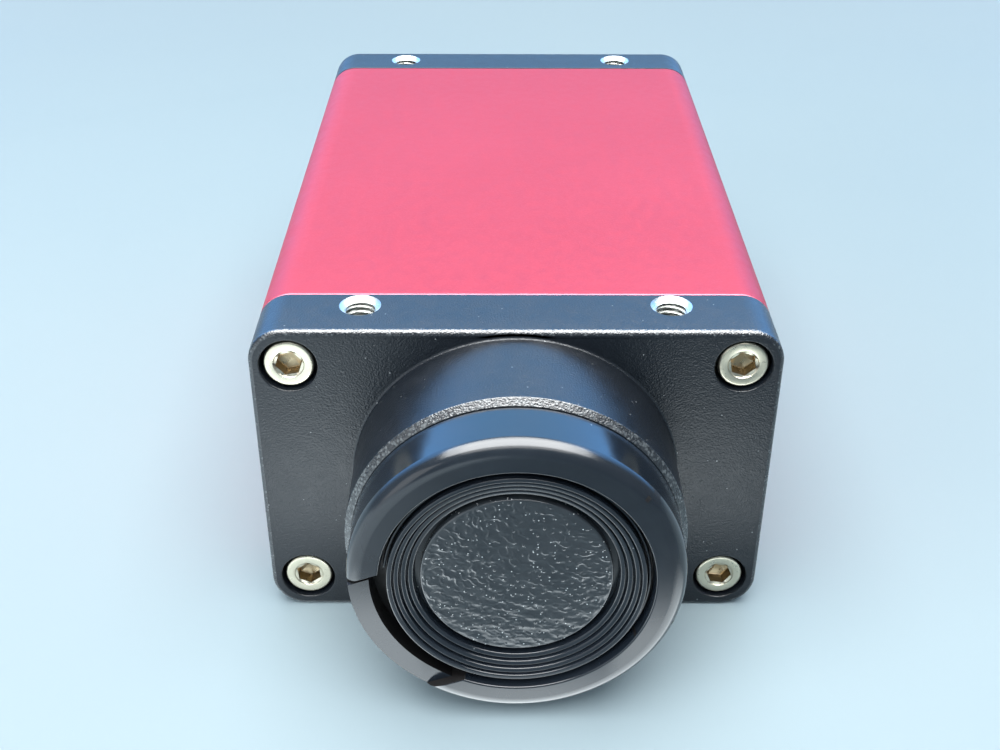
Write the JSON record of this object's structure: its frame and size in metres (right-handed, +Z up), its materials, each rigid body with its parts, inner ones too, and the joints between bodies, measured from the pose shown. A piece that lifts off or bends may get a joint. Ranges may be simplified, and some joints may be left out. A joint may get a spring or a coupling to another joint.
{
  "type": "cooled astronomy camera",
  "caption": "Compact box camera with a thermoelectrically cooled sensor, a threaded round lens nose closed by a pull-off dust cap, and rear data and power sockets.",
  "frame": {"origin": "on the underside, midway between the two front mounting holes; the front face of the front plate is at y = -0.0044 m and the optical axis runs through x = 0, z = 0.0145 m", "axes": "-Y is the way the lens looks, +Y is towards the rear sockets, +Z is up, +X is to the right seen from in front of the lens"},
  "size_m": [0.044, 0.0915, 0.029],
  "materials": {
    "black_coat": "satin",
    "red_anodised": "satin",
    "cap_plastic": "gloss",
    "black_anodised": "matte",
    "stainless": "satin",
    "nickel_plate": "satin",
    "gold_plate": "polished",
    "bare_aluminium": "satin",
    "copper_block": "satin",
    "window_glass": "polished",
    "ceramic_white": "matte",
    "silicon": "polished",
    "circuit_board": "satin",
    "chip_plastic": "matte",
    "socket_plastic": "matte",
    "flex_film": "satin",
    "gap_filler": "matte",
    "seal_rubber": "matte",
    "light_pipe": "gloss"
  },
  "bodies": {
    "housing": {"board_connector_front": "socket_plastic", "board_connector_rear": "socket_plastic", "board_post_1": "nickel_plate", "board_post_2": "nickel_plate", "board_post_3": "nickel_plate", "board_post_4": "nickel_plate", "cold_finger": "copper_block", "connector_board": "circuit_board", "front_gasket": "seal_rubber", "front_plate": "black_coat", "front_screw_bottom_left": "stainless", "front_screw_bottom_right": "stainless", "front_screw_top_left": "stainless", "front_screw_top_right": "stainless", "heat_bridge": "bare_aluminium", "housing_sleeve": "red_anodised", "image_processing_board": "circuit_board", "image_processor": "chip_plastic", "interface_board": "circuit_board", "network_jack_contacts": "gold_plate", "network_jack_insert": "socket_plastic", "network_jack_shield": "nickel_plate", "network_transformer": "chip_plastic", "power_pin_1": "gold_plate", "power_pin_2": "gold_plate", "power_pin_3": "gold_plate", "power_pin_4": "gold_plate", "power_pin_5": "gold_plate", "power_pin_6": "gold_plate", "power_socket_insert": "socket_plastic", "power_socket_nut": "nickel_plate", "power_socket_shell": "nickel_plate", "protective_window": "window_glass", "rear_gasket": "seal_rubber", "rear_plate": "black_coat", "rear_screw_bottom_left": "stainless", "rear_screw_bottom_right": "stainless", "rear_screw_top_left": "stainless", "rear_screw_top_right": "stainless", "sensor_board": "circuit_board", "sensor_chip": "silicon", "sensor_cover_glass": "window_glass", "sensor_flex_cable": "flex_film", "sensor_package": "ceramic_white", "status_light_pipe_1": "light_pipe", "status_light_pipe_2": "light_pipe", "thermal_pad_bottom": "gap_filler", "thermal_pad_top": "gap_filler", "thermoelectric_module": "ceramic_white", "window_retaining_ring": "black_anodised", "window_seal": "seal_rubber"},
    "cap": {"dust_cap": "cap_plastic"}
  },
  "joints": [
    {"name": "dust_cap_pull", "type": "slide", "parent": "housing", "child": "cap", "axis": [0, -1, 0], "range_m": [0, 0.03]}
  ]
}
